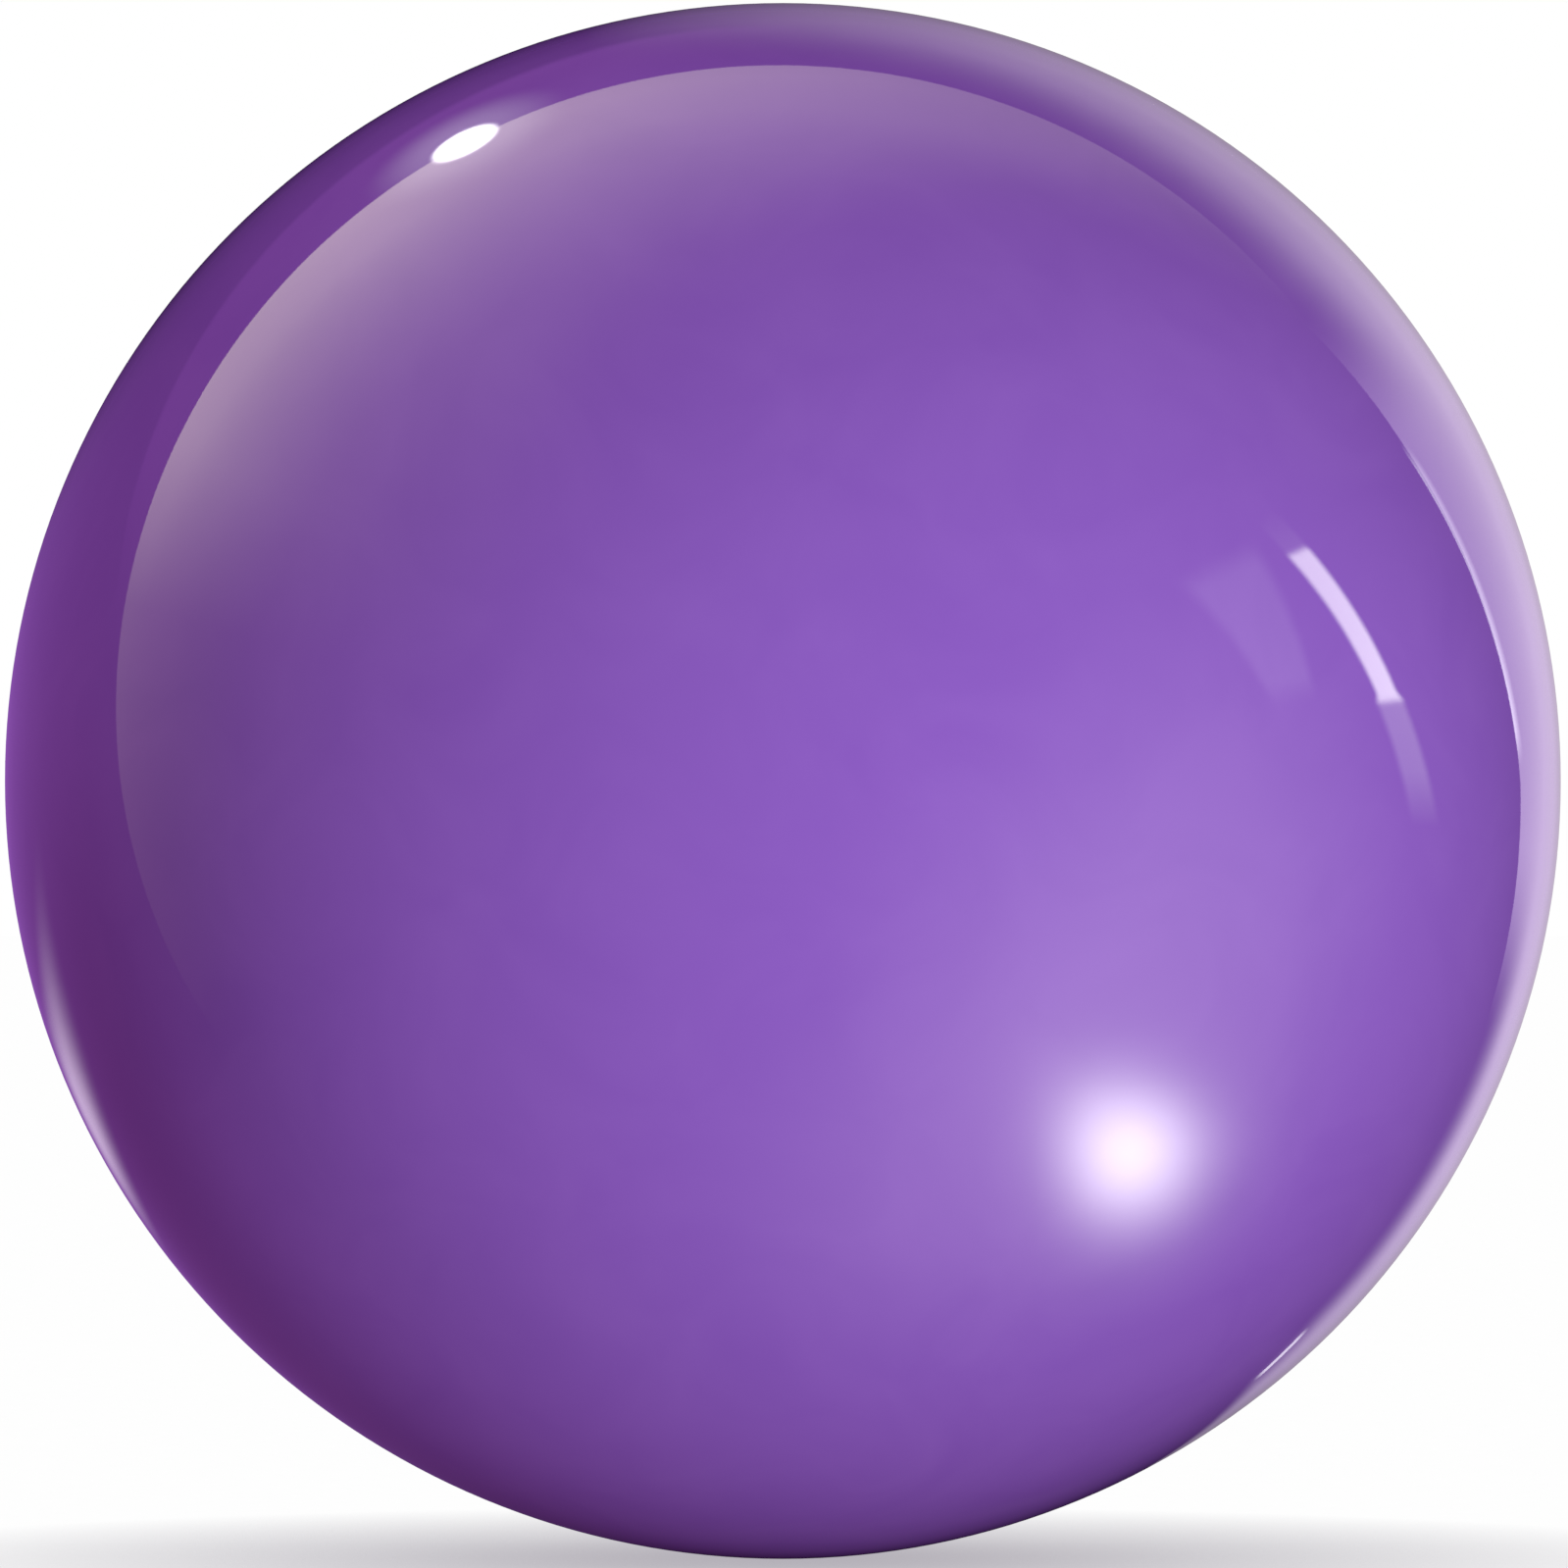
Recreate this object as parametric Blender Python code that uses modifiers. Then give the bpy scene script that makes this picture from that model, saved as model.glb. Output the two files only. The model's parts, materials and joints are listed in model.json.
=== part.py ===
"""Bowling ball, drilled for a right-handed fingertip grip with an interchangeable thumb.

Frame: the origin is the ball's centre, +Z is up, and +Y is the thumb hole's axis, out of its mouth.
The finger holes open near the top, a little towards +Y, so the -Y side is plain coverstock.
Every drilled hole is radial (zero pitch): each piece that sits in one is turned about a line
through the ball's centre, and its heights are measured from that centre.
"""

import math

import bmesh
import bpy
from mathutils import Matrix, Vector

INCH = 0.0254
MM = 0.001
GAP = 0.3 * MM  # left between pieces that touch on the real ball
OVERSHOOT = 5 * MM  # how far a cutter runs past the wall that it cuts

# Ball and shells
BALL_RADIUS = 8.55 * INCH / 2
COVER_THICKNESS = 20 * MM
CORE_RADIUS = BALL_RADIUS - COVER_THICKNESS - GAP
OUTER_FACETS = 64
INNER_FACETS = 40
HOLE_FACETS = 32

# Grip layout, measured over the surface: spans run from the thumb hole's edge to the finger hole's
MIDDLE_SPAN = 4.375 * INCH
RING_SPAN = 4.5 * INCH
BRIDGE = 0.375 * INCH

# Finger inserts: soft tubes glued into the finger holes, with an oval opening.
# Each one sits on the ledge where its hole narrows to the deeper one that clears the fingertip.
INSERT_RADIUS = 31 / 64 * INCH
INSERT_LENGTH = 0.875 * INCH
FINGER_HALF_WIDTH = 9.6 * MM
FINGER_HALF_DEPTH = 8.6 * MM
PAD_OFFSET = 0.7 * MM  # the oval sits this far from the middle, which thickens the pad on the thumb's side
INSERT_CHAMFER = 1.4 * MM
FINGERTIP_RADIUS = 0.375 * INCH
FINGERTIP_DEPTH = 1.3 * INCH

# Thumb: a socket glued into the ball, and the slug that slides out of it
SOCKET_RADIUS = 0.75 * INCH
SOCKET_BORE = 15.6 * MM
SOCKET_DEPTH = 62 * MM
SOCKET_FLOOR = 5 * MM
CUSHION_RADIUS = 11 * MM
CUSHION_THICKNESS = 1.5 * MM
SLUG_RADIUS = 15.1 * MM
SLUG_FLOOR = 6 * MM
THUMB_RADIUS = 12 * MM
THUMB_BEVEL = 2.4 * MM

# Cam lock: a shaft between socket and slug, whose lobe wedges the slug, and the key below it
CAM_OFFSET = 16 * MM  # from the thumb hole's axis
CAM_SHAFT_RADIUS = 1.5 * MM
CAM_THROW = 0.6 * MM
CAM_HEAD_RADIUS = 2.1 * MM
CAM_HEAD_HEIGHT = 2.2 * MM
CAM_LENGTH = 14 * MM
CAM_LOBE_LENGTH = 6.5 * MM
CAM_HEX_RADIUS = 1.15 * MM
CAM_HEX_DEPTH = 1.6 * MM
CAM_RECESS_RADIUS = 2.4 * MM
KEY_RADIUS = 2 * MM

# Weight block: a dense bulb on a foot, with its axis on the locating pin
BULB_RADIUS = 40 * MM
BULB_CENTRE = 16 * MM
NECK_RADIUS = 25 * MM
FOOT_RADIUS = 38 * MM
FOOT_TOP = -32 * MM
FOOT_BOTTOM = -50 * MM
FOOT_ROUNDING = 4 * MM
SPIGOT_RADIUS = 16 * MM
SPIGOT_END = -42 * MM
PIN_RADIUS = 3.25 * MM
PIN_SEAT_DEPTH = 4 * MM
PIN_ABOVE_FINGERS = 26 * MM
PIN_ASIDE = 22 * MM

# Centre-of-gravity mark: a dot of filler in a shallow pocket
MARK_RADIUS = 1.5 * MM
MARK_DEPTH = 1.2 * MM
MARK_FROM_THUMB = 82 * MM
MARK_ASIDE = 9 * MM

THUMB_AXIS = Vector((0, 1, 0))
TOWARDS_FINGERS = Vector((0, 0, 1))
RING_SIDE = Vector((-1, 0, 0))  # the right side, looking at the grip with the fingers on top

COLOURS = {
    "coverstock": ((0.23, 0.075, 0.47), 0.12, 0.0),
    "outer_core": ((0.62, 0.60, 0.55), 0.7, 0.0),
    "weight_block_bulb": ((0.45, 0.09, 0.06), 0.45, 0.0),
    "weight_block_foot": ((0.10, 0.11, 0.13), 0.5, 0.0),
    "locating_pin": ((0.80, 0.74, 0.88), 0.25, 0.0),
    "centre_mark": ((0.85, 0.85, 0.85), 0.5, 0.0),
    "finger_insert": ((0.025, 0.02, 0.035), 0.55, 0.0),
    "thumb_socket": ((0.03, 0.03, 0.035), 0.4, 0.0),
    "socket_cushion": ((0.05, 0.05, 0.05), 0.8, 0.0),
    "thumb_slug": ((0.05, 0.04, 0.07), 0.3, 0.0),
    "lock_cam": ((0.62, 0.62, 0.64), 0.25, 1.0),
}


def clear_scene():
    for obj in list(bpy.data.objects):
        bpy.data.objects.remove(obj)


def new_collection(name):
    collection = bpy.data.collections.new(name)
    bpy.context.scene.collection.children.link(collection)
    return collection


def material(name):
    colour, roughness, metallic = COLOURS[name]
    made = bpy.data.materials.get(name) or bpy.data.materials.new(name)
    made.use_nodes = True
    shader = made.node_tree.nodes["Principled BSDF"]
    shader.inputs["Base Color"].default_value = (*colour, 1)
    shader.inputs["Roughness"].default_value = roughness
    shader.inputs["Metallic"].default_value = metallic
    return made


def direction(from_thumb, aside):
    """Unit vector to the surface point this far from the thumb hole's middle, and this far to the ring side."""
    swing = from_thumb / BALL_RADIUS
    lean = math.asin(aside / (BALL_RADIUS * math.sin(swing)))
    across = TOWARDS_FINGERS * math.cos(lean) + RING_SIDE * math.sin(lean)
    return THUMB_AXIS * math.cos(swing) + across * math.sin(swing)


def surface_height(radius):
    """Height of the ball's surface above its centre, at this radius from a radial hole's axis."""
    return math.sqrt(BALL_RADIUS**2 - radius**2)


def hole_frame(name, axis, towards, collection):
    """An empty at the ball's centre with +Z along a hole's axis and +Y leaning towards a direction."""
    up = (towards - axis * towards.dot(axis)).normalized()
    side = up.cross(axis)
    empty = bpy.data.objects.new(name, None)
    empty.matrix_world = Matrix((side, up, axis)).transposed().to_4x4()
    collection.objects.link(empty)
    return empty


def add_object(name, mesh, collection, parent=None, location=(0, 0, 0)):
    obj = bpy.data.objects.new(name, mesh)
    obj.parent = parent
    obj.location = location
    collection.objects.link(obj)
    return obj


def arc(centre, radius, start, end, steps):
    """Points (radius, height) on an arc, with angles in degrees from the +radius direction."""
    angles = [math.radians(start + (end - start) * i / steps) for i in range(steps + 1)]
    return [(centre[0] + radius * math.cos(a), centre[1] + radius * math.sin(a)) for a in angles]


def surface_arc(outer, inner, steps):
    """Points on the ball's surface round a radial hole's axis, from the inner radius out to the outer one."""
    radii = [inner + (outer - inner) * i / steps for i in range(steps + 1)]
    return [(r, surface_height(r)) for r in radii]


def turned(name, profile, collection, parent=None, facets=HOLE_FACETS, closed=False):
    """A profile of (radius, height) points, run down its outer side, and turned about local Z."""
    mesh = bpy.data.meshes.new(name)
    count = len(profile)
    edges = [(i, i + 1) for i in range(count - 1)]
    if closed:
        edges.append((count - 1, 0))
    mesh.from_pydata([(r, 0, h) for r, h in profile], edges, [])
    obj = add_object(name, mesh, collection, parent)
    screw = obj.modifiers.new("turn", "SCREW")
    screw.steps = facets
    screw.render_steps = facets
    screw.use_merge_vertices = True
    screw.merge_threshold = 0.01 * MM
    return obj


def sphere(name, radius, facets, collection):
    """A ball whose poles lie on the X axis, clear of every drilled hole."""
    mesh = bpy.data.meshes.new(name)
    shape = bmesh.new()
    bmesh.ops.create_uvsphere(shape, u_segments=facets, v_segments=facets // 2, radius=radius)
    bmesh.ops.rotate(shape, verts=shape.verts, matrix=Matrix.Rotation(math.pi / 2, 3, "Y"))
    shape.to_mesh(mesh)
    shape.free()
    return add_object(name, mesh, collection)


def rod(name, radius, low, high, collection, parent, offset=(0, 0), facets=HOLE_FACETS, stretch=(1, 1), top_grow=0):
    """A round or oval bar along local Z. top_grow widens its top end, which makes a countersink."""
    mesh = bpy.data.meshes.new(name)
    shape = bmesh.new()
    bmesh.ops.create_cone(
        shape, cap_ends=True, segments=facets, radius1=radius, radius2=radius + top_grow, depth=high - low
    )
    bmesh.ops.scale(shape, verts=shape.verts, vec=(*stretch, 1))
    shape.to_mesh(mesh)
    shape.free()
    return add_object(name, mesh, collection, parent, (*offset, (low + high) / 2))


def boolean(obj, other, operation="DIFFERENCE"):
    cut = obj.modifiers.new(f"{operation.lower()}_{other.name}", "BOOLEAN")
    cut.operation = operation
    cut.object = other
    other.hide_render = True
    other.display_type = "WIRE"


def finish(obj, material_name, sharp_angle=40):
    """Gives a piece its material and smooth shading between its sharp edges."""
    obj.data.materials.append(material(material_name))
    smooth = [True] * len(obj.data.polygons)
    obj.data.polygons.foreach_set("use_smooth", smooth)
    if smooth:
        obj.data.set_sharp_from_angle(angle=math.radians(sharp_angle))


def bulb_outline(grow):
    """The bulb's side, from its top down to where it meets the neck, grown outwards by a margin."""
    meets_neck = -math.degrees(math.acos((NECK_RADIUS + grow) / (BULB_RADIUS + grow)))
    side = arc((0, BULB_CENTRE), BULB_RADIUS + grow, 90, meets_neck, 12)
    return [(0, BULB_CENTRE + BULB_RADIUS + grow), *side[1:]]


def foot_outline(grow):
    """The foot's rounded rim and underside, grown outwards by a margin."""
    corner = FOOT_RADIUS - FOOT_ROUNDING
    shoulder = arc((corner, FOOT_TOP - FOOT_ROUNDING), FOOT_ROUNDING + grow, 90, 0, 3)
    heel = arc((corner, FOOT_BOTTOM + FOOT_ROUNDING), FOOT_ROUNDING + grow, 0, -90, 3)
    return [*shoulder, *heel, (0, FOOT_BOTTOM - grow)]


def make_weight_block(parts, cutters, frame):
    """A bulb and neck, with a spigot that sits in the foot, and the pin that held them in the mould."""
    spigot = [(NECK_RADIUS, FOOT_TOP + GAP), (SPIGOT_RADIUS, FOOT_TOP + GAP), (SPIGOT_RADIUS, SPIGOT_END)]
    bulb = turned("weight_block_bulb", [*bulb_outline(0), *spigot, (0, SPIGOT_END)], parts, frame)
    seat = BULB_CENTRE + BULB_RADIUS - PIN_SEAT_DEPTH
    boolean(bulb, rod("pin_seat_cutter", PIN_RADIUS + GAP, seat, BALL_RADIUS, cutters, frame, facets=16))
    finish(bulb, "weight_block_bulb")

    recess_radius = SPIGOT_RADIUS + GAP
    recess = [(0, SPIGOT_END - GAP), (recess_radius, SPIGOT_END - GAP), (recess_radius, FOOT_TOP)]
    finish(turned("weight_block_foot", [*recess, *foot_outline(0)], parts, frame), "weight_block_foot")

    pin = [(0, BALL_RADIUS), *surface_arc(PIN_RADIUS, 0, 2)[1:], (PIN_RADIUS, seat + GAP), (0, seat + GAP)]
    finish(turned("locating_pin", pin, parts, frame, facets=16), "locating_pin")


def block_cavity(cutters, frame):
    """The space in the outer core that the weight block fills."""
    waist = [(NECK_RADIUS + GAP, FOOT_TOP + GAP)]
    return turned("block_cavity_cutter", [*bulb_outline(GAP), *waist, *foot_outline(GAP)], cutters, frame)


def make_shells(parts, cutters, bores, pin_frame, mark_frame):
    """The coverstock and the outer core, both drilled through by the same bores."""
    cover = sphere("coverstock", BALL_RADIUS, OUTER_FACETS, parts)
    boolean(cover, sphere("cover_hollow_cutter", BALL_RADIUS - COVER_THICKNESS, INNER_FACETS, cutters))
    core = sphere("outer_core", CORE_RADIUS, INNER_FACETS, parts)
    boolean(core, block_cavity(cutters, pin_frame))

    pin_bottom = BULB_CENTRE + BULB_RADIUS - OVERSHOOT
    pin_bore = rod(
        "pin_bore_cutter", PIN_RADIUS + GAP, pin_bottom, BALL_RADIUS + OVERSHOOT, cutters, pin_frame, facets=16
    )
    for bore in [*bores, pin_bore]:
        boolean(cover, bore)
        boolean(core, bore)

    pocket = BALL_RADIUS - MARK_DEPTH
    boolean(cover, rod("mark_cutter", MARK_RADIUS, pocket, BALL_RADIUS + OVERSHOOT, cutters, mark_frame, facets=16))
    finish(cover, "coverstock")
    finish(core, "outer_core")

    radius = MARK_RADIUS - GAP
    profile = [(0, BALL_RADIUS), *surface_arc(radius, 0, 1)[1:], (radius, pocket + GAP), (0, pocket + GAP)]
    finish(turned("centre_mark", profile, parts, mark_frame, facets=16), "centre_mark")


def make_finger(name, parts, cutters, frame):
    """A finger insert, and the bore drilled for it. Local +Y points towards the thumb."""
    top = surface_arc(INSERT_RADIUS, 0, 4)
    low = BALL_RADIUS - INSERT_LENGTH
    insert = turned(f"{name}_finger_insert", [*top, (INSERT_RADIUS, low), (0, low)], parts, frame)
    oval = {"offset": (0, -PAD_OFFSET), "stretch": (FINGER_HALF_WIDTH / FINGER_HALF_DEPTH, 1)}
    hole = rod(
        f"{name}_oval_cutter", FINGER_HALF_DEPTH, low - OVERSHOOT, BALL_RADIUS + OVERSHOOT, cutters, frame, **oval
    )
    mouth_low = surface_height(FINGER_HALF_WIDTH) - INSERT_CHAMFER
    mouth_high = BALL_RADIUS + OVERSHOOT
    mouth = rod(
        f"{name}_mouth_cutter",
        FINGER_HALF_DEPTH,
        mouth_low,
        mouth_high,
        cutters,
        frame,
        top_grow=mouth_high - mouth_low,
        **oval,
    )
    boolean(insert, hole)
    boolean(insert, mouth)
    finish(insert, "finger_insert")
    ledge = low - GAP
    floor = BALL_RADIUS - FINGERTIP_DEPTH
    above = BALL_RADIUS + OVERSHOOT
    radius = INSERT_RADIUS + GAP
    profile = [(0, above), (radius, above), (radius, ledge), (FINGERTIP_RADIUS, ledge), (FINGERTIP_RADIUS, floor)]
    return turned(f"{name}_bore_cutter", [*profile, (0, floor)], cutters, frame)


def make_thumb_socket(parts, cutters, frame):
    """The cup glued into the ball, its key and its cushion, and the bore drilled for it."""
    low = BALL_RADIUS - SOCKET_DEPTH
    floor = low + SOCKET_FLOOR
    well = floor - CUSHION_THICKNESS - GAP
    rim = surface_arc(SOCKET_RADIUS, SOCKET_BORE, 2)
    inside = [(0, well), (CUSHION_RADIUS + GAP, well), (CUSHION_RADIUS + GAP, floor), (SOCKET_BORE, floor)]
    socket = turned("thumb_socket", [*inside, *rim, (SOCKET_RADIUS, low), (0, low)], parts, frame)
    recess_low = cam_foot() - GAP
    at_cam = (CAM_OFFSET, 0)
    key = rod("key_rib", KEY_RADIUS, floor - 1 * MM, recess_low - 2 * MM, cutters, frame, at_cam, facets=16)
    boolean(socket, key, "UNION")
    recess = rod(
        "cam_recess_cutter",
        CAM_RECESS_RADIUS,
        recess_low,
        BALL_RADIUS + OVERSHOOT,
        cutters,
        frame,
        at_cam,
        facets=16,
    )
    boolean(socket, recess)
    finish(socket, "thumb_socket")

    top = floor - GAP
    bottom = well + GAP
    profile = [(0, top), (CUSHION_RADIUS, top), (CUSHION_RADIUS, bottom), (0, bottom)]
    finish(turned("socket_cushion", profile, parts, frame), "socket_cushion")
    return rod("thumb_bore_cutter", SOCKET_RADIUS + GAP, low - GAP, BALL_RADIUS + OVERSHOOT, cutters, frame)


def make_thumb_slug(parts, cutters, frame):
    """The sliding sleeve that holds the thumb, grooved along one side for the cam and the key."""
    low = BALL_RADIUS - SOCKET_DEPTH + SOCKET_FLOOR + GAP
    thumb_floor = low + SLUG_FLOOR
    mouth = THUMB_RADIUS + THUMB_BEVEL
    bevel_centre = (mouth, surface_height(mouth) - THUMB_BEVEL)
    inside = [(0, thumb_floor), (THUMB_RADIUS, thumb_floor), *arc(bevel_centre, THUMB_BEVEL, 180, 90, 5)]
    outside = [(SLUG_RADIUS, surface_height(SLUG_RADIUS)), (SLUG_RADIUS, low), (0, low)]
    slug = turned("thumb_slug", [*inside, *outside], parts, frame)
    groove = rod(
        "slug_groove_cutter",
        CAM_RECESS_RADIUS,
        low - OVERSHOOT,
        BALL_RADIUS + OVERSHOOT,
        cutters,
        frame,
        (CAM_OFFSET, 0),
        facets=16,
    )
    boolean(slug, groove)
    finish(slug, "thumb_slug")


def cam_head_top():
    return surface_height(CAM_OFFSET + CAM_HEAD_RADIUS) - 0.5 * MM


def cam_foot():
    return cam_head_top() - CAM_LENGTH


def make_lock_cam(parts, cutters, frame):
    """A shaft with an eccentric lobe, which points at the slug when locked, and a hex socket in its head."""
    top = cam_head_top()
    foot = cam_foot()
    axis = bpy.data.objects.new("lock_cam_axis", None)
    axis.parent = frame
    axis.location = (CAM_OFFSET, 0, 0)
    parts.objects.link(axis)
    neck = top - CAM_HEAD_HEIGHT
    profile = [
        (0, top),
        (CAM_HEAD_RADIUS, top),
        (CAM_HEAD_RADIUS, neck),
        (CAM_SHAFT_RADIUS, neck),
        (CAM_SHAFT_RADIUS, foot),
        (0, foot),
    ]
    cam = turned("lock_cam", profile, parts, axis, facets=16)
    lobe_low = (neck + foot - CAM_LOBE_LENGTH) / 2
    lobe = rod(
        "cam_lobe", CAM_SHAFT_RADIUS, lobe_low, lobe_low + CAM_LOBE_LENGTH, cutters, axis, (-CAM_THROW, 0), facets=16
    )
    boolean(cam, lobe, "UNION")
    boolean(cam, rod("cam_hex_cutter", CAM_HEX_RADIUS, top - CAM_HEX_DEPTH, top + OVERSHOOT, cutters, axis, facets=6))
    finish(cam, "lock_cam")


def main():
    clear_scene()
    parts = new_collection("bowling_ball")
    cutters = new_collection("cutters")

    finger_aside = BRIDGE / 2 + INSERT_RADIUS
    edges = THUMB_RADIUS + FINGER_HALF_DEPTH
    middle = direction(MIDDLE_SPAN + edges, -finger_aside)
    ring = direction(RING_SPAN + edges, finger_aside)
    pin = direction(RING_SPAN + edges + PIN_ABOVE_FINGERS, PIN_ASIDE)
    mark = direction(MARK_FROM_THUMB, MARK_ASIDE)

    thumb_frame = hole_frame("thumb_hole", THUMB_AXIS, TOWARDS_FINGERS, parts)
    middle_frame = hole_frame("middle_finger_hole", middle, THUMB_AXIS, parts)
    ring_frame = hole_frame("ring_finger_hole", ring, THUMB_AXIS, parts)
    pin_frame = hole_frame("pin_axis", pin, THUMB_AXIS, parts)
    mark_frame = hole_frame("mark_axis", mark, THUMB_AXIS, parts)

    bores = [
        make_finger("middle", parts, cutters, middle_frame),
        make_finger("ring", parts, cutters, ring_frame),
        make_thumb_socket(parts, cutters, thumb_frame),
    ]
    make_thumb_slug(parts, cutters, thumb_frame)
    make_lock_cam(parts, cutters, thumb_frame)
    make_weight_block(parts, cutters, pin_frame)
    make_shells(parts, cutters, bores, pin_frame, mark_frame)


main()
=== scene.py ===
import json
import math

import bpy
import numpy as np
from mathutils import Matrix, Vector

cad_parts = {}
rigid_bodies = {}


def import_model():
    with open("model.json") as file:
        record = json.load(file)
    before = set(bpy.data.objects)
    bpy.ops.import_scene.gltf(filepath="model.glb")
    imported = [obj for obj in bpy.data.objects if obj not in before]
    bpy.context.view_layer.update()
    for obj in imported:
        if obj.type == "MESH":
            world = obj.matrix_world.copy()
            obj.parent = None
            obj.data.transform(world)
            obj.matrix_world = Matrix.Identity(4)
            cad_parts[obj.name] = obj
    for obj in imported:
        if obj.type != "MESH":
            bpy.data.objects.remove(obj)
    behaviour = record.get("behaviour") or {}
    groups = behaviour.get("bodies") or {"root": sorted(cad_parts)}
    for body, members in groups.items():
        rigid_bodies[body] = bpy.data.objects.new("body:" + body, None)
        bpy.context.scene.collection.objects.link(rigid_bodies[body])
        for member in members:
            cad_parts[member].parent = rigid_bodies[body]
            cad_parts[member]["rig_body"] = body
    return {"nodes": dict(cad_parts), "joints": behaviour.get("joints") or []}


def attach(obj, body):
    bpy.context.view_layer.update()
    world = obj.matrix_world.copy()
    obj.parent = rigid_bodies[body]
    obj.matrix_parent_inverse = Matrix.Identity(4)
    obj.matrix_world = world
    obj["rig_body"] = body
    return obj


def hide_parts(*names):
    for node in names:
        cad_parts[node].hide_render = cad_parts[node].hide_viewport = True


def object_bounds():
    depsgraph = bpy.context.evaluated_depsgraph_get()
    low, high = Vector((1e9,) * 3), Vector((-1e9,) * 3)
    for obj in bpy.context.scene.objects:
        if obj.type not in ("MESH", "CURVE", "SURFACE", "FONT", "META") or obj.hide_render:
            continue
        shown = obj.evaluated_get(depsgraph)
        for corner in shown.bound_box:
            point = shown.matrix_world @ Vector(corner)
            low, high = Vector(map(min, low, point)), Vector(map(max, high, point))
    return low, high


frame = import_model()
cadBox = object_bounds()
nodes = frame["nodes"]
print("frame loaded with", len(nodes), "nodes")

mm = 0.001
inch = 0.0254
ballRadius = -cadBox[0].z
thumbAxis = np.array(frame["joints"][0]["axis"], float)
upwards = np.array([0.0, 0.0, 1.0])
ringSide = np.array([-1.0, 0.0, 0.0])
seam = 0.1 * mm  # glue line between a hole and what is glued into it
gap = 0.3 * mm  # room between the pieces inside the ball
flushFit = 0.02 * mm  # room round a piece that is polished flush with the ball
support = 0.3 * mm  # a loop this far past a rounded edge keeps the flat beside it flat
crisp = 0.1 * mm  # and one this far past a square corner keeps the corner square
overshoot = 3 * mm  # how far a cutter stands out of the ball


def addMesh(name, points, quads, triangles=()):
    mesh = bpy.data.meshes.new(name)
    mesh.from_pydata(points.tolist(), [], [*quads.tolist(), *np.asarray(triangles, int).tolist()])
    mesh.shade_smooth()
    piece = bpy.data.objects.new(name, mesh)
    bpy.context.scene.collection.objects.link(piece)
    return piece


def ringStack(name, rows, basis, closed=False, poles=None):
    # Rows of points, each one a closed loop round the hole's axis, joined into one skin. They run down the
    # outside of a piece and up its inside, so that its faces point outwards. A closed stack joins its last
    # row to its first. An open one ends in two poles, level with the rows beside them or at given heights.
    rows = np.array([np.stack(np.broadcast_arrays(*row), -1) for row in rows])
    count, turns = rows.shape[:2]
    points = rows.reshape(-1, 3)
    start = np.arange(count if closed else count - 1)[:, None] * turns
    here = np.arange(turns)
    after = (here + 1) % turns
    below = (start + turns) % (count * turns)
    quads = np.stack([start + here, below + here, below + after, start + after], -1).reshape(-1, 4)
    if closed:
        return addMesh(name, points @ basis, quads)
    last = (count - 1) * turns
    top = np.full(turns, len(points))
    topFan = np.stack([top, here, after], -1)
    bottomFan = np.stack([last + here, top + 1, last + after], -1)
    heights = poles or (rows[0, 0, 2], rows[-1, 0, 2])
    tips = [[*rows[0, :, :2].mean(0), heights[0]], [*rows[-1, :, :2].mean(0), heights[1]]]
    return addMesh(name, np.concatenate([points, tips]) @ basis, quads, np.concatenate([topFan, bottomFan]))


def turnAngles(turns):
    return np.arange(turns) * math.tau / turns


def ringRows(angle, profile, aside=0.0):
    # Radius(u, v) * (cos u, sin u), height(u, v): each pair in the profile makes one loop, and its radius and
    # height are single values or have one value for each angle
    return [(radius * np.cos(angle) + aside, radius * np.sin(angle), height) for radius, height in profile]


def quarterArc(radius, height, size, start, steps, turning=-1):
    # (radius, height) pairs along a quarter circle, from a start in degrees: 0 is outwards and 90 is upwards
    swing = np.radians(start + turning * np.linspace(0, 90, steps + 1))
    return [(radius + size * math.cos(s), height + size * math.sin(s)) for s in swing]


def roundedProfile(corners):
    # Corners (radius, height, rounding) become a line whose corners are arcs that touch both of their sides.
    # A point just off each arc, on either side, keeps the flats flat under smooth shading.
    offArc = 0.12 * mm
    share = np.linspace(0, 1, 7)[:, None]
    line = []
    for i, (radius, height, rounding) in enumerate(corners):
        corner = np.array([radius, height])
        if not rounding:
            line.append(corner[None])
            continue
        before = np.array(corners[i - 1][:2]) - corner
        after = np.array(corners[i + 1][:2]) - corner
        before /= np.linalg.norm(before)
        after /= np.linalg.norm(after)
        half = math.acos(np.clip(before @ after, -1, 1)) / 2
        tangent = rounding / math.tan(half)
        middle = (before + after) / np.linalg.norm(before + after)
        centre = corner + middle * rounding / math.sin(half)
        first = corner + before * tangent - centre
        last = corner + after * tangent - centre
        swing = math.pi - 2 * half
        arc = (np.sin((1 - share) * swing) * first + np.sin(share * swing) * last) / math.sin(swing)
        line.append((corner + before * (tangent + offArc))[None])
        line.append(centre + arc)
        line.append((corner + after * (tangent + offArc))[None])
    return np.concatenate(line)


def domed(radius):  # height of the ball's surface over a hole, at this distance from the hole's axis
    return np.sqrt(ballRadius**2 - np.asarray(radius) ** 2)


def domedTop(radius):  # the ball's surface from the axis out to a tight edge, as (radius, height) pairs
    edge = 0.02 * mm
    rim = radius - edge
    inner = np.linspace(0, rim, 11)
    return [*zip(inner, domed(inner)), *quarterArc(rim, float(domed(rim)) - edge, edge, 90, 5)[1:]]


def turnedPiece(name, profile, basis, turns=96):
    # Radius(v) * (cos u, sin u), height(v), for v along the profile and u round the axis, closed by two poles
    rings = ringRows(turnAngles(turns), [pair for pair in profile if pair[0] > 0])
    return ringStack(name, rings, basis, poles=(profile[0][1], profile[-1][1]))


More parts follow.
